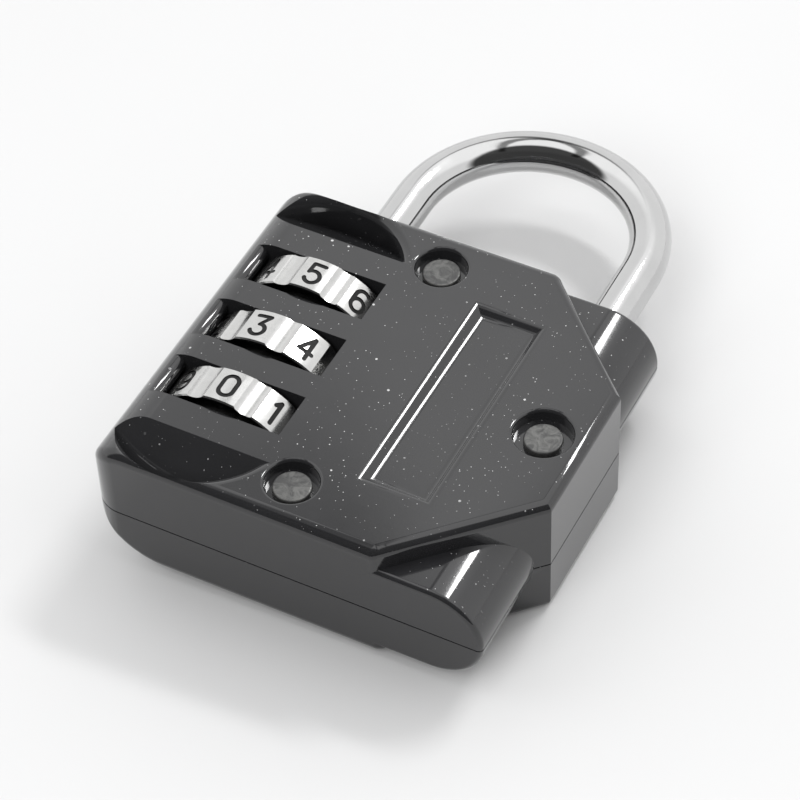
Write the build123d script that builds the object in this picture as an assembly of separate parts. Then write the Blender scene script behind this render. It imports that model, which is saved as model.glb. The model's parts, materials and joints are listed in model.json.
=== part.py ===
from build123d import *
import math
import os

# Luggage combination padlock: a two-piece zinc case riveted together, three number wheels
# turning about the long leg of the shackle, and a clutch sleeve inside each wheel.
#
# Frame, in millimetres: the lock lies on its back. The origin is the middle of the flat bottom
# end of the case. +X is to the right seen from the front, +Y runs from that end towards the
# shackle, and +Z points out of the front face. Z = 0 is the plane of the wheel and leg axes.

# ---- case -------------------------------------------------------------------------------
CASE_LEFT = -20.1
CASE_RIGHT = 19.5
CASE_HEIGHT = 36.7
CASE_THICK = 13.7
MID_Y = CASE_HEIGHT / 2
FRONT_Z = CASE_THICK / 2
BACK_Z = -FRONT_Z
SEAM_BELOW_FRONT = 7.75
SEAM_Z = FRONT_Z - SEAM_BELOW_FRONT
SEAM_GROOVE = 0.14             # height and depth of the dark line where the halves meet
CORNER_R = 3.0                 # left corners, seen from the front
CORNER_OVERLAP = 0.1           # the corner arcs pass this far outside the flat side and meet it crisply
FRONT_ROUND_R = 4.0            # long rounding, front face into left side
BACK_ROUND_X = 6.9             # half axes of the fuller rounding, back into left side
BACK_ROUND_Z = 7.2
CUT_REACH = 26.6               # the 45 degree corner cuts lie where x + |y - MID_Y| is this
EDGE_R = 1.1                   # soft edge along the two ends of the case
CUT_EDGE_R = 0.95              # soft edge along the 45 degree cuts

# ---- stepped corners with a round boss along the right side -------------------------------
BOSS_X = 13.3
BOSS_Z = -0.6
BOSS_R = 5.1
BOSS_EDGE_R = 0.5

# ---- front face details -------------------------------------------------------------------
WINDOW_X0, WINDOW_X1 = -17.25, -5.05
WINDOW_HEIGHT = 4.84
WHEEL_PITCH = 7.64
WINDOW_ROLL_R = 0.7            # soft front edge at each window's left end
WINDOW_BEVEL = 0.3             # flat bevel of the same edge at the back
SCOOP_X, SCOOP_OFF = -12.5, 10.1       # centre of the scoop's arc, from the case's middle
SCOOP_R = 7.9
SCOOP_RIM = 1.2                        # the arc's wall rolls over into the front face
SCOOP_FOLD = 13.2                      # the straight fold line, from the case's middle
SCOOP_SLOPE = 40                       # the floor falls away from the fold at this angle
PANEL_X0, PANEL_X1 = 3.55, 10.05
PANEL_HALF_LENGTH = 11.3
PANEL_DEPTH = 0.6
PANEL_SLOPE = math.radians(45)
RIVET_X, RIVET_OFF = -1.55, 14.18      # two rivets, either side of the middle
RIVET3_X = 15.38
RIVET_POCKET_R = (2.4, 2.4, 2.67)
RIVET_POCKET_DEPTH = 1.25
POCKET_RIM = 0.3
RIVET_HEAD_R = 1.75
RIVET_HEAD_T = 0.6
RIVET_SHANK_R = 1.1

# ---- wheel axis, wheels and sleeves -------------------------------------------------------
AXIS_X = -11.2
WHEEL_R = 7.8
WHEEL_WIDTH = 3.9
HUB_R, HUB_WIDTH = 6.4, 4.74
SLOT_R = 7.92
DIGITS = 10
STEP = 360 / DIGITS
FLUTE_R, FLUTE_DEPTH = 1.9, 0.3
DIGIT_HEIGHT, DIGIT_WIDTH = 2.35, 1.35     # between stroke centre lines
DIGIT_STROKE = 0.42
DIGIT_DEPTH, DIGIT_FILL = 0.28, 0.18
SHOWN = {1: (5, 1.0), 2: (3, -9.2), 3: (0, -0.8)}   # digit nearest the front and its turn
SLEEVE_R = 4.6
SLEEVE_BORE_R = 3.3
SLEEVE_LENGTH = WHEEL_PITCH - 0.04
RUN = 0.06                                  # running clearance on the radius
DISC_LOW, DISC_HIGH = 0.2, 1.4              # locking disc inside each sleeve
GATE_WIDTH = 2.6
DOG_R, DOG_WIDTH, DOGS = 5.25, 1.0, 5
DOG_LOW, DOG_HIGH = 0.2, 1.75
CODE_SHIFT = 1.8                            # sleeve travel when the code is changed

# ---- shackle ------------------------------------------------------------------------------
BAR_R = 2.0
LEG_X = 12.45
ARCH_Y = 45.55
TOE_Y = 31.65
FOOT_Y = 2.55
LIFT = 5.0
LUG_REACH, LUG_WIDTH, LUG_HEIGHT = 3.1, 1.3, 1.2
LUG_TOP = 0.1
TOE_BORE_R, TOE_BORE_Y = 2.15, 31.35
RING_Y, RING_T, RING_R = 2.95, 0.45, 2.25
RING_SEAT_R = 1.6

# ---- spring, washer, detents --------------------------------------------------------------
SPRING_R, SPRING_WIRE, SPRING_TURNS = 2.66, 0.42, 3.5
SPRING_SEAT_Y = 2.25
SPRING_POCKET_R = 3.0
WASHER_Y, WASHER_T = 6.35, 0.5
SLEEVE_ROOM_Y = 4.35
SLEEVE_STOP_Y = 29.85
NECK_Y = 31.25
LEAF_X, LEAF_T, LEAF_WIDTH = -2.75, 0.2, 2.4
LEAF_Z0, LEAF_Z1 = -4.2, 4.6
LEAF_SCREW_Z = 4.0
RIB_X1 = -0.9
CHAMBER_X0, CHAMBER_X1 = -2.95, 8.5
CHAMBER_Y0, CHAMBER_Y1 = 7.35, 29.35
CHAMBER_Z0, CHAMBER_Z1 = -5.3, 4.9


def wheel_y(k):
    """Height of wheel k's middle: wheel 1 is next to the shackle."""
    return MID_Y + WHEEL_PITCH * (2 - k)


def rod(x, y0, y1, z, r):
    """A cylinder along Y from y0 to y1."""
    c = Cylinder(r, y1 - y0, rotation=(90, 0, 0))
    return Pos(x, (y0 + y1) / 2, z) * c


def post(x, y, z0, z1, r):
    """A cylinder along Z from z0 to z1."""
    return Pos(x, y, (z0 + z1) / 2) * Cylinder(r, z1 - z0)


def block(x0, x1, y0, y1, z0, z1):
    """A box between two corners."""
    return Pos((x0 + x1) / 2, (y0 + y1) / 2, (z0 + z1) / 2) * Box(x1 - x0, y1 - y0, z1 - z0)


def case_section(inset):
    """The case's outline seen from its bottom end: flat front and back, rounded left side."""
    left, right = CASE_LEFT + inset, CASE_RIGHT - inset
    top, low = FRONT_Z, BACK_Z
    side_low = low + BACK_ROUND_Z
    back_start = left + BACK_ROUND_X
    bend = []
    for i in range(13):
        a = math.radians(180 + 90 * i / 12)
        bend.append((back_start + BACK_ROUND_X * math.cos(a), side_low + BACK_ROUND_Z * math.sin(a)))
    with BuildSketch(Plane.XZ) as sketch:
        with BuildLine():
            Line((right, top), (left + FRONT_ROUND_R, top))
            RadiusArc((left + FRONT_ROUND_R, top), (left, top - FRONT_ROUND_R), -FRONT_ROUND_R)
            Line((left, top - FRONT_ROUND_R), (left, side_low))
            Spline(bend, tangents=((0, -1), (1, 0)))
            Line((back_start, low), (right, low))
            Line((right, low), (right, top))
        make_face()
    return sketch.sketch


def case_plan(inset):
    """The case's outline seen from the front: rounded left corners, 45 degree cuts on the right."""
    left, right = CASE_LEFT + inset - CORNER_OVERLAP, CASE_RIGHT - inset
    low, high = inset, CASE_HEIGHT - inset
    reach = CUT_REACH - inset * math.sqrt(2)
    cut_x, cut_y = reach - (MID_Y - inset), reach - right
    r = CORNER_R - inset
    with BuildSketch() as sketch:
        with BuildLine():
            Polyline((left + r, high), (cut_x, high), (right, MID_Y + cut_y), (right, MID_Y - cut_y),
                     (cut_x, low), (left + r, low))
            RadiusArc((left + r, low), (left, low + r), r)
            Line((left, low + r), (left, high - r))
            RadiusArc((left, high - r), (left + r, high), r)
        make_face()
    return sketch.sketch


def plate(inset=0.0):
    """The full-thickness part of the case."""
    along = extrude(case_section(inset), amount=CASE_HEIGHT, dir=(0, 1, 0))
    through = extrude(Pos(0, 0, -CASE_THICK) * case_plan(inset), amount=2 * CASE_THICK, dir=(0, 0, 1))
    return along & through


def boss(inset=0.0):
    """The stepped corners and the round boss that the short leg enters."""
    r = BOSS_R - inset
    body = rod(BOSS_X, inset, CASE_HEIGHT - inset, BOSS_Z, r)
    body += block(0, BOSS_X, inset, CASE_HEIGHT - inset, BOSS_Z - r, BOSS_Z + r)
    return body


def case_solid():
    """The outside of the closed case, with its soft edges, as one solid."""
    body = plate()
    body = fillet(body.faces().filter_by(Axis.Y).edges(), EDGE_R)
    flats = body.faces().filter_by(Plane.XY).edges() - body.edges().filter_by(Axis.X)
    body = fillet([e for e in flats if e.center().X > 9.5], CUT_EDGE_R)
    knob = boss()
    tips = [e for e in knob.faces().filter_by(Axis.Y).edges() if e.center().X > 1]
    return body + fillet(tips, BOSS_EDGE_R)


def seam_groove():
    """The thin line cut where the two halves meet."""
    band = block(-30, 30, -5, 45, SEAM_Z - SEAM_GROOVE / 2, SEAM_Z + SEAM_GROOVE / 2)
    return band - plate(SEAM_GROOVE) - boss(SEAM_GROOVE)


def rimmed_hole(r, depth, rim):
    """What is cut away for a round hole in the front face whose edge is rolled over."""
    hole = post(0, 0, FRONT_Z - depth, FRONT_Z + 1, r)
    collar = post(0, 0, FRONT_Z - rim, FRONT_Z + 1, r + rim)
    ring = Pos(0, 0, FRONT_Z - rim) * Torus(r + rim, rim)
    return hole + (collar - ring)


def scoop(side):
    """A D-shaped thumb scoop: a floor falling away from the fold to a steep round wall."""
    fall = math.tan(math.radians(SCOOP_SLOPE))
    bowl = Pos(0, SCOOP_OFF, 0) * rimmed_hole(SCOOP_R, FRONT_Z + 2, SCOOP_RIM)
    profile = Polyline((0, SCOOP_FOLD, FRONT_Z), (0, SCOOP_FOLD + 9, FRONT_Z - 9 * fall),
                       (0, SCOOP_FOLD + 9, FRONT_Z + 2), (0, SCOOP_FOLD - 2 / fall, FRONT_Z + 2), close=True)
    wedge = extrude(make_face(profile), amount=40, dir=(1, 0, 0), both=True)
    return Pos(SCOOP_X, MID_Y, 0) * Rot(0, 0, 0 if side > 0 else 180) * (bowl & wedge)


def panel_outline(half):
    """The panel in section: each sloped side rolls over at the top and rolls again into the floor."""
    roll_r = PANEL_DEPTH / 2 / (1 - math.cos(PANEL_SLOPE))
    reach, halfway = roll_r * math.sin(PANEL_SLOPE), roll_r * math.sin(PANEL_SLOPE / 2)
    sag = roll_r * (1 - math.cos(PANEL_SLOPE / 2))
    with BuildSketch() as sketch:
        with BuildLine():
            for side in (-1, 1):
                ThreePointArc((side * (half + reach), 0), (side * (half + reach - halfway), -sag),
                              (side * half, -PANEL_DEPTH / 2))
                ThreePointArc((side * half, -PANEL_DEPTH / 2),
                              (side * (half - reach + halfway), sag - PANEL_DEPTH),
                              (side * (half - reach), -PANEL_DEPTH))
            Line((reach - half, -PANEL_DEPTH), (half - reach, -PANEL_DEPTH))
            Polyline((-half - reach, 0), (-half - reach, 1), (half + reach, 1), (half + reach, 0))
        make_face()
    return sketch.sketch


def panel():
    """What is cut away for the blank sunk panel with its softly rounded sides."""
    half_width = (PANEL_X1 - PANEL_X0 - PANEL_DEPTH) / 2
    along = extrude(Plane.XZ * panel_outline(half_width), amount=20, both=True)
    across = extrude(Plane.YZ * panel_outline(PANEL_HALF_LENGTH - PANEL_DEPTH / 2), amount=20, both=True)
    return Pos((PANEL_X0 + PANEL_X1) / 2, MID_Y, FRONT_Z) * (along & across)


def window(k):
    """A wheel's window through front and back; its left end is rolled in front, bevelled behind."""
    y0, y1 = wheel_y(k) - WINDOW_HEIGHT / 2, wheel_y(k) + WINDOW_HEIGHT / 2
    hole = block(WINDOW_X0, WINDOW_X1, y0, y1, -9, 9)
    big_x, big_z = CASE_LEFT + FRONT_ROUND_R, FRONT_Z - FRONT_ROUND_R
    reach = FRONT_ROUND_R - WINDOW_ROLL_R
    roll_x = WINDOW_X0 - WINDOW_ROLL_R
    roll_z = big_z + math.sqrt(reach ** 2 - (roll_x - big_x) ** 2)
    touch_x = big_x + (roll_x - big_x) * FRONT_ROUND_R / reach
    roll = Pos(roll_x, (y0 + y1) / 2, roll_z) * Cylinder(WINDOW_ROLL_R, 2 * WINDOW_HEIGHT, rotation=(90, 0, 0))
    hole += block(touch_x, WINDOW_X0, y0, y1, roll_z, 9) - roll
    edge = Box(WINDOW_BEVEL * 1.414, y1 - y0, WINDOW_BEVEL * 1.414)
    return hole + Pos(WINDOW_X0, (y0 + y1) / 2, BACK_Z + 1.35) * Rot(0, 45, 0) * edge


def rivet_spots():
    """Middle of each rivet in X and Y, with the radius of its pocket."""
    spots = ((RIVET_X, MID_Y + RIVET_OFF), (RIVET_X, MID_Y - RIVET_OFF), (RIVET3_X, MID_Y))
    return [(x, y, r) for (x, y), r in zip(spots, RIVET_POCKET_R)]


def rivet_pocket(x, y, r, side):
    """A round sunk pocket with a rolled rim, on the front (side 1) or the back (side -1)."""
    hole = rimmed_hole(r, RIVET_POCKET_DEPTH, POCKET_RIM)
    return Pos(x, y, 0) * Rot(0 if side > 0 else 180, 0, 0) * hole


def inner_room():
    """Everything hollow inside the closed case."""
    room = rod(AXIS_X, NECK_Y - 1, CASE_HEIGHT + 2, 0, BAR_R + RUN)
    room += rod(AXIS_X, SLEEVE_STOP_Y - 0.5, NECK_Y, 0, SLEEVE_BORE_R + 0.1)
    room += rod(AXIS_X, SLEEVE_ROOM_Y, SLEEVE_STOP_Y, 0, SLEEVE_R + RUN)
    room += rod(AXIS_X, SPRING_SEAT_Y, SLEEVE_ROOM_Y + 0.5, 0, SPRING_POCKET_R)
    room += rod(LEG_X, TOE_BORE_Y, CASE_HEIGHT + 2, 0, TOE_BORE_R)
    chamber = block(CHAMBER_X0, CHAMBER_X1, CHAMBER_Y0, CHAMBER_Y1, CHAMBER_Z0, CHAMBER_Z1)
    room += chamber
    for k in (1, 2, 3):
        y = wheel_y(k)
        room += rod(AXIS_X, y - WINDOW_HEIGHT / 2, y + WINDOW_HEIGHT / 2, 0, SLOT_R)
        room += block(AXIS_X + 6.7, CHAMBER_X0 + 0.5, y - 1.6, y + 1.6, LEAF_Z0 - 0.4, CHAMBER_Z1)
        room += screw_hole(y)
    for x, y, r in rivet_spots():
        room += post(x, y, -9, 9, RIVET_SHANK_R + 0.05)
    return room - spring_rib()


def spring_rib():
    """The rib of the front case that the detent springs are screwed to."""
    rib = block(LEAF_X + LEAF_T, RIB_X1, 0, CASE_HEIGHT, LEAF_SCREW_Z - 0.8, CHAMBER_Z1)
    for k in (1, 2, 3):
        rib -= screw_hole(wheel_y(k))
    return rib & block(-30, 30, CHAMBER_Y0, CHAMBER_Y1, -9, 9)


def screw_hole(y):
    """Hole in the rib for a detent spring's screw."""
    return Pos(LEAF_X + 0.9, y, LEAF_SCREW_Z) * Cylinder(0.45, 1.8, rotation=(0, 90, 0))


def case_halves():
    """Front and back case, split at the seam."""
    body = case_solid() - seam_groove() - panel() - inner_room()
    for side in (1, -1):
        body -= scoop(side)
    for k in (1, 2, 3):
        body -= window(k)
    for x, y, r in rivet_spots():
        for side in (1, -1):
            body -= rivet_pocket(x, y, r, side)
    front = body & block(-30, 30, -5, 45, SEAM_Z, 20)
    back = body & block(-30, 30, -5, 45, -20, SEAM_Z)
    return front, back


def rivets():
    """Three alike: a flat head in front, a shank, and a flattened tail behind."""
    top = FRONT_Z - RIVET_POCKET_DEPTH
    head = Pos(0, 0, top + RIVET_HEAD_T / 2) * Cylinder(RIVET_HEAD_R, RIVET_HEAD_T)
    head = fillet(head.edges().sort_by(Axis.Z)[-1:], 0.18)
    one = post(0, 0, -top, top, RIVET_SHANK_R) + head + Rot(180, 0, 0) * head
    return [Pos(x, y, 0) * one for x, y, r in rivet_spots()]


# ---- number wheels ------------------------------------------------------------------------

def digit_lines(n):
    """Centre lines of a digit's strokes, in a box DIGIT_WIDTH wide and DIGIT_HEIGHT high."""
    w, h = DIGIT_WIDTH / 2, DIGIT_HEIGHT / 2
    up, low = h - w, w - h

    def arc(*points):
        return ThreePointArc(*points)

    def path(*points):
        return [Line(a, b) for a, b in zip(points, points[1:])]

    if n == 0:
        return [arc((w, up), (0, h), (-w, up)), arc((-w, low), (0, -h), (w, low)),
                Line((w, low), (w, up)), Line((-w, up), (-w, low))]
    if n == 1:
        return path((-w * 0.6, h * 0.6), (0, h), (0, -h))
    if n == 2:
        return [arc((-w, up), (0, h), (w, up))] + path((w, up), (-w, -h), (w, -h))
    if n == 3:
        r = h * 0.52
        return path((-w, h), (w * 0.9, h), (-w * 0.1, h * 0.12)) + [
            arc((-w * 0.1, h * 0.12), (w, r - h), (0, -h)), arc((0, -h), (-w * 0.6, -h * 0.88), (-w, -h * 0.6))]
    if n == 4:
        return path((w * 0.45, -h), (w * 0.45, h), (-w, -h * 0.38), (w, -h * 0.38))
    if n == 5:
        return path((w * 0.9, h), (-w * 0.75, h), (-w * 0.85, h * 0.1)) + [
            arc((-w * 0.85, h * 0.1), (w, -h * 0.3), (0, -h)), arc((0, -h), (-w * 0.6, -h * 0.88), (-w, -h * 0.6))]
    if n in (6, 9):
        s = 1 if n == 6 else -1
        return [arc((s * w, s * low), (0, s * (low + w)), (-s * w, s * low)),
                arc((-s * w, s * low), (0, -s * h), (s * w, s * low)),
                Line((-s * w, s * low), (-s * w, s * up)),
                arc((-s * w, s * up), (-s * w * 0.35, s * h * 0.95), (s * w * 0.7, s * h * 0.85))]
    if n == 7:
        return path((-w, h), (w, h), (-w * 0.25, -h))
    rings = []
    for middle, r in ((h * 0.52, h * 0.48), (-h * 0.46, h * 0.54)):
        rings += [arc((r, middle), (0, middle + r), (-r, middle)), arc((-r, middle), (0, middle - r), (r, middle))]
    return rings


def digit_shape(n):
    """A digit as a flat face, with strokes of even width and round ends."""
    shape = Sketch()
    for line in digit_lines(n):
        shape += trace(line, DIGIT_STROKE)
        for end in (line @ 0, line @ 1):
            shape += Pos(*end) * Circle(DIGIT_STROKE / 2)
    return shape


def wheel_blank():
    """One wheel about the Y axis at its own middle: fluted rim, hub collars and a toothed bore."""
    half = WHEEL_WIDTH / 2
    rim = rod(0, -half, half, 0, WHEEL_R)
    rim = chamfer(rim.edges().filter_by(GeomType.CIRCLE), 0.12)
    for i in range(DIGITS):
        a = math.radians(STEP * (i + 0.5))
        out = WHEEL_R + FLUTE_R - FLUTE_DEPTH
        rim -= rod(out * math.sin(a), -3, 3, out * math.cos(a), FLUTE_R)
    wheel = rim + rod(0, -HUB_WIDTH / 2, HUB_WIDTH / 2, 0, HUB_R)
    wheel -= rod(0, -5, 5, 0, SLEEVE_R + RUN)
    wheel -= rod(0, -5, 0.1, 0, DOG_R + 0.15)
    for i in range(DIGITS):
        notch = block(-DOG_WIDTH / 2 - 0.12, DOG_WIDTH / 2 + 0.12, 0, 5, 0, DOG_R + 0.12)
        wheel -= Rot(0, STEP * i, 0) * notch
    return wheel


def digits():
    """The ten engraved shapes and the ten fillings, with digit 0 facing +Z."""
    cuts, fills = [], []
    base = Plane(origin=(0, 0, WHEEL_R - DIGIT_DEPTH), x_dir=(1, 0, 0), z_dir=(0, 0, 1))
    for n in range(DIGITS):
        face = base * digit_shape(n)
        cuts.append(Rot(0, STEP * n, 0) * extrude(face, amount=DIGIT_DEPTH + 0.5))
        fills.append(Rot(0, STEP * n, 0) * extrude(face, amount=DIGIT_FILL))
    return cuts, fills


def sleeve_blank():
    """A clutch sleeve about the Y axis at its wheel's middle, its gate facing +X."""
    half = SLEEVE_LENGTH / 2
    sleeve = rod(0, -half, half, 0, SLEEVE_R)
    for i in range(DOGS):
        dog = block(-DOG_WIDTH / 2, DOG_WIDTH / 2, DOG_LOW, DOG_HIGH, SLEEVE_R - 0.6, DOG_R)
        sleeve += Rot(0, 2 * STEP * i, 0) * dog
    sleeve -= rod(0, -9, DISC_LOW, 0, SLEEVE_BORE_R)
    sleeve -= rod(0, DISC_HIGH, 9, 0, SLEEVE_BORE_R)
    sleeve -= rod(0, -9, 9, 0, BAR_R + RUN)
    gate = block(0, SLEEVE_BORE_R, -9, 9, -GATE_WIDTH / 2, GATE_WIDTH / 2)
    return sleeve - (gate & rod(0, -9, 9, 0, SLEEVE_BORE_R))


# ---- shackle ------------------------------------------------------------------------------

def shackle():
    """A round bar: long leg through the wheels, half-round arch, short leg into the boss."""
    arch_r = (LEG_X - AXIS_X) / 2
    middle = (AXIS_X + LEG_X) / 2
    with BuildLine() as path:
        Line((AXIS_X, FOOT_Y, 0), (AXIS_X, ARCH_Y, 0))
        ThreePointArc((AXIS_X, ARCH_Y, 0), (middle, ARCH_Y + arch_r, 0), (LEG_X, ARCH_Y, 0))
        Line((LEG_X, ARCH_Y, 0), (LEG_X, TOE_Y, 0))
    start = Plane(origin=(AXIS_X, FOOT_Y, 0), z_dir=(0, 1, 0))
    bar = sweep(start * Circle(BAR_R), path=path.wire())
    ends = [e for e in bar.edges().filter_by(GeomType.CIRCLE)
            if e.center().Y < TOE_Y + 0.01 and abs(e.radius - BAR_R) < 0.01]
    bar = chamfer([e for e in ends if e.center().X > 0], 0.5)
    bar -= rod(AXIS_X, RING_Y, RING_Y + RING_T, 0, BAR_R + 1) - rod(AXIS_X, 0, 9, 0, RING_SEAT_R)
    return bar - lug_blanks(0)


def lug_blanks(grow):
    """The three locking lugs, pressed into flats milled in the long leg."""
    out = None
    for k in (1, 2, 3):
        top = wheel_y(k) + LUG_TOP
        lug = block(AXIS_X + 0.9, AXIS_X + 4, top - LUG_HEIGHT, top, -LUG_WIDTH / 2, LUG_WIDTH / 2)
        lug = lug & rod(AXIS_X, 0, 40, 0, LUG_REACH + grow)
        out = lug if out is None else out + lug
    return out


def retaining_ring():
    """The open ring in the groove at the long leg's foot."""
    ring = rod(AXIS_X, RING_Y + 0.02, RING_Y + RING_T - 0.02, 0, RING_R)
    ring -= rod(AXIS_X, 0, 9, 0, RING_SEAT_R + 0.03)
    return ring - block(AXIS_X - 0.6, AXIS_X + 0.6, 0, 9, 0, 5)


# ---- spring, washer, detents --------------------------------------------------------------

def return_spring():
    """Coil spring between the bottom of the case and the washer."""
    low, high = SPRING_SEAT_Y + SPRING_WIRE / 2 + 0.03, WASHER_Y - SPRING_WIRE / 2 - 0.03
    height = high - low
    helix = Helix(pitch=height / SPRING_TURNS, height=height, radius=SPRING_R)
    section = Plane(origin=helix @ 0, z_dir=helix % 0) * Circle(SPRING_WIRE / 2)
    coil = sweep(section, path=helix)
    return Pos(AXIS_X, low, 0) * Rot(-90, 0, 0) * coil


def washer():
    """Thrust washer under the lowest sleeve."""
    ring = rod(AXIS_X, WASHER_Y, WASHER_Y + WASHER_T, 0, SLEEVE_R - 0.2)
    return ring - rod(AXIS_X, 0, 9, 0, RING_R + 0.1)


def leaf(k):
    """Detent spring of wheel k: a flat strip whose bump sits in a flute, screwed at its top."""
    y = wheel_y(k)
    tip = AXIS_X + WHEEL_R - (0.2 if k != 2 else -0.1)
    strip = block(LEAF_X, LEAF_X + LEAF_T, y - LEAF_WIDTH / 2, y + LEAF_WIDTH / 2, LEAF_Z0, LEAF_Z1)
    bump = Polyline((LEAF_X + 0.05, 0, -1.0), (tip, 0, -0.12), (tip, 0, 0.12), (LEAF_X + 0.05, 0, 1.0),
                    close=True)
    strip += Pos(0, y, 0) * extrude(make_face(bump), amount=LEAF_WIDTH / 2, dir=(0, 1, 0), both=True)
    hole = Pos(LEAF_X, y, LEAF_SCREW_Z) * Cylinder(0.5, 2, rotation=(0, 90, 0))
    return strip - hole


def screws():
    """Three small screws holding the detent springs to the rib."""
    out = []
    for k in (1, 2, 3):
        one = Pos(LEAF_X + 0.75, wheel_y(k), LEAF_SCREW_Z) * Cylinder(0.44, 1.5, rotation=(0, 90, 0))
        head = Pos(LEAF_X - 0.25, wheel_y(k), LEAF_SCREW_Z) * Cylinder(0.75, 0.5, rotation=(0, 90, 0))
        cross = block(LEAF_X - 0.6, LEAF_X - 0.3, wheel_y(k) - 0.5, wheel_y(k) + 0.5,
                      LEAF_SCREW_Z - 0.09, LEAF_SCREW_Z + 0.09)
        out.append(one + (head - cross))
    return out


# ---- all parts ----------------------------------------------------------------------------

def solids_of(shape):
    """A list of the plain solids in a shape or in a list of shapes."""
    shapes = shape if isinstance(shape, list) else [shape]
    return [s for one in shapes for s in one.solids()]


def save(name, shape):
    """Writes one named node."""
    export_step(Compound(children=solids_of(shape)), f"parts/{name}.step")
    print(name, len(solids_of(shape)), [round(s.volume, 2) for s in solids_of(shape)][:4])


def main():
    os.makedirs("parts", exist_ok=True)
    front, back = case_halves()
    save("front_case", front)
    save("back_case", back)
    save("rivets", rivets())
    blank, gate = wheel_blank(), sleeve_blank()
    cuts, fills = digits()
    for cut in cuts:
        blank -= cut
    for k, (digit, turn) in SHOWN.items():
        at = Pos(AXIS_X, wheel_y(k), 0)
        spun = at * Rot(0, turn - STEP * digit, 0)
        save(f"wheel_{k}", spun * blank)
        save(f"wheel_{k}_numerals", [spun * f for f in fills])
        save(f"sleeve_{k}", at * Rot(0, turn, 0) * gate)
        save(f"detent_spring_{k}", leaf(k))
    save("shackle", shackle())
    save("shackle_lugs", solids_of(lug_blanks(0)))
    save("retaining_ring", retaining_ring())
    save("sleeve_washer", washer())
    save("sleeve_spring", return_spring())
    save("detent_screws", screws())


main()
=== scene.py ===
import json
import math

import bmesh
import bpy
from mathutils import Matrix, Vector


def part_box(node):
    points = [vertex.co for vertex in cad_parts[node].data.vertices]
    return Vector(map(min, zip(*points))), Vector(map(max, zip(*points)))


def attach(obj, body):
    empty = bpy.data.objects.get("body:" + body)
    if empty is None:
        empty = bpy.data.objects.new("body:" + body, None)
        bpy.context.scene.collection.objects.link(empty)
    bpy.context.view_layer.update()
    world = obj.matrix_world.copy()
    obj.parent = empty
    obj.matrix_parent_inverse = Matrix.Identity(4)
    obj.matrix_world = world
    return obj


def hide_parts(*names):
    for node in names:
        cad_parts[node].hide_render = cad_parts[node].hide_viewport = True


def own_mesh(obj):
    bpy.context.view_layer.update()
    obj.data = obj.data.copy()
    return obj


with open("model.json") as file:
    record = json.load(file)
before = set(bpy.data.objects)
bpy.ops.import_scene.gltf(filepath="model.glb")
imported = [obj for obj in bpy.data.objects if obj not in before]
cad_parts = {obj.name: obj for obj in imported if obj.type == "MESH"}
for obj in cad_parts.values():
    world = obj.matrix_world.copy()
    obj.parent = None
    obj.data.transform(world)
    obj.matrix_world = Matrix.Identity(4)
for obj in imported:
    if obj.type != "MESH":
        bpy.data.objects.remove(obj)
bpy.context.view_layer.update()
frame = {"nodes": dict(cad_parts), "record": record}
nodes = frame["nodes"]
scene = bpy.context.scene
MM = 0.001
WHEEL_AXIS_X = -11.2 * MM        # the wheels' common axis, at Z = 0


# ---- node helpers -----------------------------------------------------------------------

class Nodes:
    """Adds and links the nodes of one node tree."""

    def __init__(self, tree):
        self.tree = tree

    def add(self, kind, **props):
        node = self.tree.nodes.new(kind)
        for key, value in props.items():
            setattr(node, key, value)
        return node

    def join(self, source, target):
        self.tree.links.new(source, target)

    def feed(self, target, value):
        """Links an output, or sets a plain value."""
        if isinstance(value, bpy.types.NodeSocket):
            self.join(value, target)
        else:
            target.default_value = value

    def math(self, operation, a, b=0.0):
        n = self.add("ShaderNodeMath", operation=operation)
        for socket, value in zip(n.inputs, (a, b)):
            self.feed(socket, value)
        return n.outputs[0]

    def times(self, *factors):
        product = factors[0]
        for factor in factors[1:]:
            product = self.math("MULTIPLY", product, factor)
        return product

    def ramp(self, value, low, high, out_low=0.0, out_high=1.0):
        """Goes smoothly from out_low to out_high as the value goes from low to high."""
        n = self.add("ShaderNodeMapRange", interpolation_type="SMOOTHSTEP")
        self.feed(n.inputs["Value"], value)
        for key, number in (("From Min", low), ("From Max", high),
                            ("To Min", out_low), ("To Max", out_high)):
            n.inputs[key].default_value = number
        return n.outputs[0]


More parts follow.
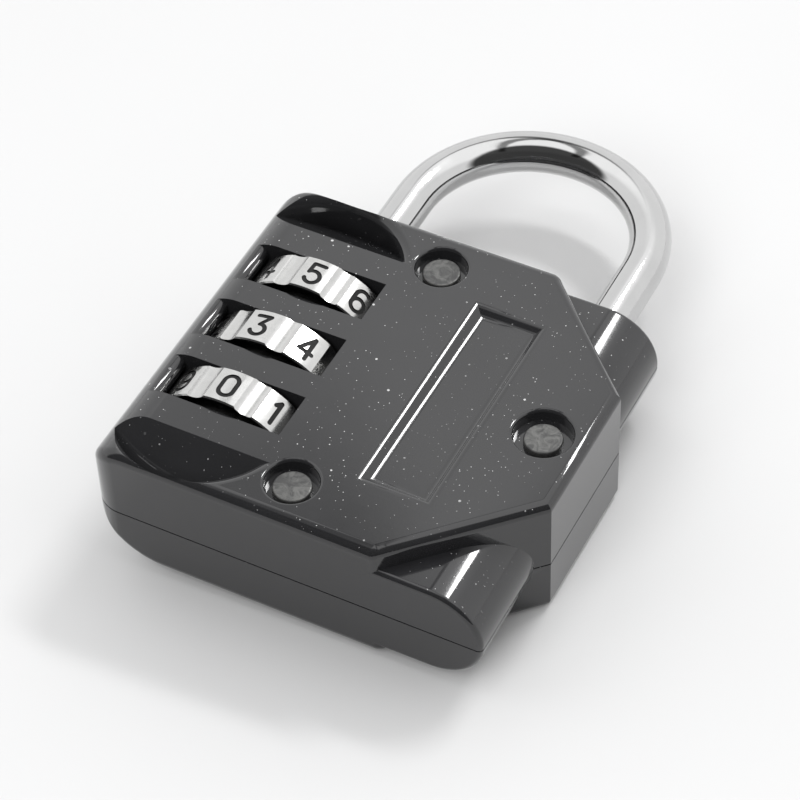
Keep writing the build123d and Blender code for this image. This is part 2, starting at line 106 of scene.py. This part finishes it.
class Shader(Nodes):
    """A small builder for one procedural material."""

    def __init__(self, name):
        self.mat = bpy.data.materials.new(name)
        self.mat.use_nodes = True
        super().__init__(self.mat.node_tree)
        self.bsdf = self.tree.nodes["Principled BSDF"]
        self.coords = self.add("ShaderNodeTexCoord").outputs["Object"]

    def set(self, **inputs):
        """Feeds inputs of the surface shader, with an underscore for each space in a name."""
        for key, value in inputs.items():
            self.feed(self.bsdf.inputs[key.replace("_", " ")], value)

    def noise(self, scale, detail, roughness=0.5, distortion=0.0):
        n = self.add("ShaderNodeTexNoise")
        self.join(self.coords, n.inputs["Vector"])
        for key, number in (("Scale", scale), ("Detail", detail),
                            ("Roughness", roughness), ("Distortion", distortion)):
            n.inputs[key].default_value = number
        return n.outputs["Fac"]

    def cells(self, scale, seed):
        """Distance to the nearest cell point, and three random values for each cell."""
        moved = self.add("ShaderNodeVectorMath", operation="ADD")
        self.join(self.coords, moved.inputs[0])
        moved.inputs[1].default_value = (seed, seed * 0.7, seed * 1.3)
        v = self.add("ShaderNodeTexVoronoi")
        self.join(moved.outputs[0], v.inputs["Vector"])
        v.inputs["Scale"].default_value = scale
        split = self.add("ShaderNodeSeparateColor")
        self.join(v.outputs["Color"], split.inputs[0])
        return v.outputs["Distance"], split.outputs

    def normal(self):
        """The X, Y and Z parts of the surface's direction."""
        split = self.add("ShaderNodeSeparateXYZ")
        self.join(self.add("ShaderNodeNewGeometry").outputs["Normal"], split.inputs[0])
        return split.outputs

    def mix(self, factor, a, b):
        n = self.add("ShaderNodeMix", data_type="RGBA")
        for key, value in (("Factor", factor), ("A", a), ("B", b)):
            self.feed(n.inputs[key], value)
        return n.outputs["Result"]

    def bump(self, height, distance, after=None):
        """Tilts the surface by a height in metres, on top of an earlier bump if one is given."""
        n = self.add("ShaderNodeBump")
        n.inputs["Strength"].default_value = 1.0
        n.inputs["Distance"].default_value = distance
        self.join(height, n.inputs["Height"])
        if after is not None:
            self.join(after, n.inputs["Normal"])
        return n.outputs["Normal"]


def grey(v, tint=(1, 1, 1)):
    """A grey of linear value v, with a slight tint."""
    return (v * tint[0], v * tint[1], v * tint[2], 1)


# ---- materials --------------------------------------------------------------------------

# dust on the paint: cells in a metre, seed, largest speck in cells, share of cells with a speck
DUST = ((1500, 1.7, 0.13, 0.8), (2600, 4.1, 0.16, 0.6), (700, 7.3, 0.10, 0.6))


def black_paint():
    """Gloss paint over a fine casting skin, with dust specks on what faces up."""
    s = Shader("black_paint")
    smudge = s.noise(150, 3, 0.55, 0.4)
    peel = s.noise(1100, 2, 0.5)
    fine = s.noise(6000, 2, 0.6)
    upward = s.ramp(s.normal()["Z"], 0.3, 0.9)
    patches = s.ramp(s.noise(90, 3, 0.6), 0.38, 0.62)
    specks = None
    for scale, seed, radius, share in DUST:
        distance, rgb = s.cells(scale, seed)
        kept = s.math("GREATER_THAN", rgb[0], 1 - share)
        dot = s.math("LESS_THAN", distance, s.times(rgb[1], radius))
        dot = s.times(dot, kept, s.ramp(rgb[2], 0.0, 1.0, 0.15, 1.0))
        specks = dot if specks is None else s.math("MAXIMUM", specks, dot)
    dust = s.times(specks, upward, s.ramp(patches, 0, 1, 0.45, 1.0))
    tone = s.mix(smudge, grey(0.014, (1, 1, 1.05)), grey(0.022, (1, 1, 1.08)))
    s.set(Base_Color=s.mix(dust, tone, grey(0.55)),
          Roughness=s.math("ADD", s.ramp(smudge, 0.3, 0.7, 0.055, 0.09), s.times(dust, 0.4)),
          IOR=1.52, Coat_Weight=0.3, Coat_Roughness=0.04)
    n = s.bump(peel, 1.2e-6)
    n = s.bump(fine, 3e-7, after=n)
    s.set(Normal=s.bump(dust, 1.2e-5, after=n))
    return s.mat


def rivet_grey():
    """Dull plated steel, blotched where it was pressed."""
    s = Shader("rivet_grey")
    blotch = s.noise(900, 4, 0.62, 1.2)
    grain = s.noise(5200, 3, 0.7)
    dark = s.ramp(blotch, 0.35, 0.68)
    s.set(Base_Color=s.mix(dark, grey(0.055), grey(0.15, (1, 1, 0.97))),
          Metallic=s.ramp(blotch, 0.3, 0.7, 0.35, 0.7),
          Roughness=s.ramp(grain, 0.3, 0.7, 0.34, 0.55))
    n = s.bump(blotch, 3.0e-5)
    s.set(Normal=s.bump(grain, 6e-6, after=n))
    return s.mat


def wheel_plate():
    """Satin plating on the wheels' rims, with painted shade: a near-black base colour on their
    hidden side faces.
    """
    s = Shader("wheel_plate")
    cast = s.noise(1300, 3, 0.55)
    grain = s.noise(7000, 2, 0.6)
    # painted shade and reflection: faces turned along the wheel axis get a near-black base colour
    painted_side_shade = s.ramp(s.math("ABSOLUTE", s.normal()["Y"]), 0.6, 0.9)
    plate = s.mix(cast, grey(0.50, (1, 1, 0.99)), grey(0.62, (1, 0.995, 0.98)))
    s.set(Base_Color=s.mix(painted_side_shade, plate, grey(0.05)),
          Metallic=1.0, Roughness=s.ramp(grain, 0.3, 0.7, 0.16, 0.26))
    n = s.bump(cast, 6e-6)
    s.set(Normal=s.bump(grain, 8e-7, after=n))
    return s.mat


def digit_enamel():
    """Black enamel wiped into the engraved digits."""
    s = Shader("digit_enamel")
    wipe = s.noise(2600, 3, 0.6)
    s.set(Base_Color=s.mix(wipe, grey(0.004), grey(0.012, (1, 0.97, 1))),
          Roughness=s.ramp(wipe, 0.3, 0.7, 0.4, 0.6), Specular_IOR_Level=0.25)
    s.set(Normal=s.bump(wipe, 1.5e-5))
    return s.mat


def chrome():
    """Polished plating with a faint haze and ripple."""
    s = Shader("shackle_chrome")
    haze = s.noise(260, 3, 0.6, 0.5)
    ripple = s.noise(420, 1, 0.4)
    s.set(Base_Color=s.mix(haze, grey(0.50), grey(0.58)),
          Metallic=1.0, Roughness=s.ramp(haze, 0.35, 0.65, 0.045, 0.10))
    s.set(Normal=s.bump(ripple, 2.5e-6))
    return s.mat


def plain_metal(name, color, low, high):
    """Turned, plated or sprung metal with fine marks and a roughness from low to high."""
    s = Shader(name)
    marks = s.noise(3000, 3, 0.6)
    s.set(Base_Color=s.mix(marks, color, grey(0.85, color[:3])),
          Metallic=1.0, Roughness=s.ramp(marks, 0.3, 0.7, low, high))
    s.set(Normal=s.bump(marks, 2e-6))
    return s.mat


materials = {
    "black_paint": black_paint(),
    "rivet_grey": rivet_grey(),
    "wheel_plate": wheel_plate(),
    "digit_enamel": digit_enamel(),
    "shackle_chrome": chrome(),
    "sleeve_brass": plain_metal("sleeve_brass", (0.72, 0.53, 0.26, 1), 0.2, 0.34),
    "spring_steel": plain_metal("spring_steel", (0.50, 0.50, 0.51, 1), 0.24, 0.36),
    "zinc_steel": plain_metal("zinc_steel", (0.62, 0.63, 0.65, 1), 0.22, 0.38),
}


def dress(obj, slot):
    """Gives an object the one material of its slot."""
    obj.data.materials.clear()
    obj.data.materials.append(materials[slot])


for row in frame["record"]["subparts"]:
    dress(nodes[row["node"]], row["material_slot"])


# ---- carried-over nodes: merged faces, soft edges, even shading ---------------------------

EDGE_SOFTENING = 0.13 * MM       # width of the rounding added to the case's sharp edges
SHARP_FROM = math.radians(24)    # edges that turn by more than this are rounded
FLAT_WITHIN = math.radians(0.6)  # faces that turn by less than this are merged
SAME_POINT = 1e-6                # vertices closer than this many metres are joined


def soften(obj, merge_flat):
    """Rounds the sharp edges of a carried-over node with modifiers, and evens out its shading."""
    weld = obj.modifiers.new("weld", "WELD")
    weld.merge_threshold = SAME_POINT
    if merge_flat:
        flat = obj.modifiers.new("flat", "DECIMATE")
        flat.decimate_type = "DISSOLVE"
        flat.angle_limit = FLAT_WITHIN
    bevel = obj.modifiers.new("bevel", "BEVEL")
    bevel.limit_method = "ANGLE"
    bevel.angle_limit = SHARP_FROM
    bevel.width = EDGE_SOFTENING
    bevel.segments = 4
    bevel.use_clamp_overlap = True
    bevel.miter_outer = "MITER_ARC"
    even = obj.modifiers.new("even", "WEIGHTED_NORMAL")
    even.mode = "FACE_AREA"
    even.keep_sharp = False


# merging the back's flat faces would also merge its slot walls into the wheels' clearance
soften(nodes["front_case"], merge_flat=True)
soften(nodes["back_case"], merge_flat=False)


# ---- return spring: a round-wire coil of fixed length in place of the sleeve spring node -----

WIRE_R = 0.21 * MM
COIL_TURNS = 3.5
STEPS_A_TURN, STEPS_AROUND_WIRE = 40, 14


def return_spring():
    """A round-wire coil of even pitch between its seat in the case and the washer."""
    low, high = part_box("sleeve_spring")
    length = high.y - low.y
    middle = (low + high) / 2
    radius = (high.x - low.x) / 2 - WIRE_R
    steps = int(COIL_TURNS * STEPS_A_TURN)
    up = Vector((0, 1, 0))
    bm = bmesh.new()
    loops = []
    for i in range(steps + 1):
        t = i / steps
        a = 2 * math.pi * COIL_TURNS * t
        out = Vector((math.cos(a), 0, math.sin(a)))
        height = low.y + WIRE_R + (length - 2 * WIRE_R) * t
        centre = Vector((middle.x, height, middle.z)) + out * radius
        angles = (2 * math.pi * j / STEPS_AROUND_WIRE for j in range(STEPS_AROUND_WIRE))
        loops.append([bm.verts.new(centre + (out * math.cos(b) + up * math.sin(b)) * WIRE_R)
                      for b in angles])
    for first, second in zip(loops, loops[1:]):
        for j in range(STEPS_AROUND_WIRE):
            k = (j + 1) % STEPS_AROUND_WIRE
            bm.faces.new((first[j], first[k], second[k], second[j]))
    bm.faces.new(loops[0][::-1])
    bm.faces.new(loops[-1])
    bmesh.ops.recalc_face_normals(bm, faces=bm.faces)
    mesh = bpy.data.meshes.new("return_coil")
    bm.to_mesh(mesh)
    bm.free()
    for face in mesh.polygons:
        face.use_smooth = True
    coil = bpy.data.objects.new("return_coil", mesh)
    scene.collection.objects.link(coil)
    dress(coil, "spring_steel")
    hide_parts("sleeve_spring")
    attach(coil, "case")
    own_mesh(coil)


return_spring()


# ---- stage: floor, surroundings, lights, camera --------------------------------------------

BACK_RIGHT_X = 18.6 * MM         # where the back's right edge rests on the floor


def floor():
    """A pale sheet that the lock lies on: it touches the wheels and the right edge of the back."""
    wheel_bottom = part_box("wheel_2")[0].z
    back_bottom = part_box("back_case")[0].z
    tilt = math.atan2(back_bottom - wheel_bottom, BACK_RIGHT_X - WHEEL_AXIS_X)
    bpy.ops.mesh.primitive_plane_add(size=4)
    sheet = bpy.context.object
    sheet.name = "floor"
    sheet.matrix_world = (Matrix.Translation((WHEEL_AXIS_X, 0, wheel_bottom))
                          @ Matrix.Rotation(-tilt, 4, "Y"))
    s = Shader("floor_paper")
    mottle = s.noise(18, 3)
    s.set(Base_Color=s.mix(mottle, grey(0.61), grey(0.64, (1, 1, 1.005))),
          Roughness=0.55, Specular_IOR_Level=0.3)
    sheet.data.materials.append(s.mat)


def heading(azimuth, elevation):
    """A direction: azimuth from +Y towards +X, elevation above the floor, in degrees."""
    a, e = math.radians(azimuth), math.radians(elevation)
    return Vector((math.sin(a) * math.cos(e), math.cos(a) * math.cos(e), math.sin(e)))


# thin dark lines across the bright overhead light, each from one heading to another
FRAME_LINES = (((-150, 50), (-30, 58)), ((-30, 58), (125, 60)))


def surroundings():
    """A pale room: bright overhead with thin dark frame lines, dark behind the viewer."""
    world = bpy.data.worlds.new("room")
    scene.world = world
    world.use_nodes = True
    w = Nodes(world.node_tree)
    w.tree.nodes.clear()
    coords = w.add("ShaderNodeTexCoord").outputs["Generated"]

    def along(direction):
        """How far the view direction points along a given one, from -1 to 1."""
        n = w.add("ShaderNodeVectorMath", operation="DOT_PRODUCT")
        w.join(coords, n.inputs[0])
        n.inputs[1].default_value = direction
        return n.outputs["Value"]

    height = along((0, 0, 1))
    level = w.ramp(height, 0.6, 0.8, 1.15, 1.52)
    level = w.times(level, w.ramp(along(heading(168, 12)), 0.32, 0.50, 1.0, 0.06))
    for first, last in FRAME_LINES:
        across = heading(*first).cross(heading(*last)).normalized()
        line = w.ramp(w.math("ABSOLUTE", along(across)), 0.02, 0.06, 0.25, 1.0)
        upper = w.ramp(height, 0.70, 0.80)
        line = w.math("ADD", w.times(line, upper), w.math("SUBTRACT", 1.0, upper))
        level = w.times(level, line)
    background = w.add("ShaderNodeBackground")
    background.inputs["Color"].default_value = (1.0, 1.0, 1.0, 1)
    w.join(level, background.inputs["Strength"])
    w.join(background.outputs[0], w.add("ShaderNodeOutputWorld").inputs["Surface"])


LIGHT_DISTANCE = 1.2


def softbox(name, azimuth, elevation, wide, tall, radiance):
    """A rectangular light that faces the origin from a heading."""
    light = bpy.data.lights.new(name, "AREA")
    light.shape = "RECTANGLE"
    light.size, light.size_y = wide, tall
    light.energy = radiance * math.pi * wide * tall
    obj = bpy.data.objects.new(name, light)
    scene.collection.objects.link(obj)
    way = heading(azimuth, elevation)
    obj.location = way * LIGHT_DISTANCE
    obj.rotation_mode = "QUATERNION"
    obj.rotation_quaternion = way.to_track_quat("Z", "Y")
    return obj


CAMERA_TARGET = Vector((2.50, 16.43, 6.85)) * MM
CAMERA_DISTANCE = 260.9 * MM
CAMERA_AZIMUTH, CAMERA_ELEVATION, CAMERA_ROLL = 28.99, 47.71, -2.45    # degrees


def camera():
    data = bpy.data.cameras.new("camera")
    data.sensor_width = 36
    data.lens = 135
    data.clip_start, data.clip_end = 0.01, 20
    obj = bpy.data.objects.new("camera", data)
    scene.collection.objects.link(obj)
    back = heading(180 - CAMERA_AZIMUTH, CAMERA_ELEVATION)
    turn = ((-back).to_track_quat("-Z", "Y").to_matrix().to_4x4()
            @ Matrix.Rotation(math.radians(CAMERA_ROLL), 4, "Z"))
    obj.matrix_world = Matrix.Translation(CAMERA_TARGET + back * CAMERA_DISTANCE) @ turn
    scene.camera = obj


floor()
surroundings()
softbox("key", 15, 51, 0.42, 0.12, 32)
fill = softbox("fill", 185, 48, 0.9, 0.9, 3.6)
fill.visible_glossy = False
camera()
scene.view_settings.view_transform = "Standard"
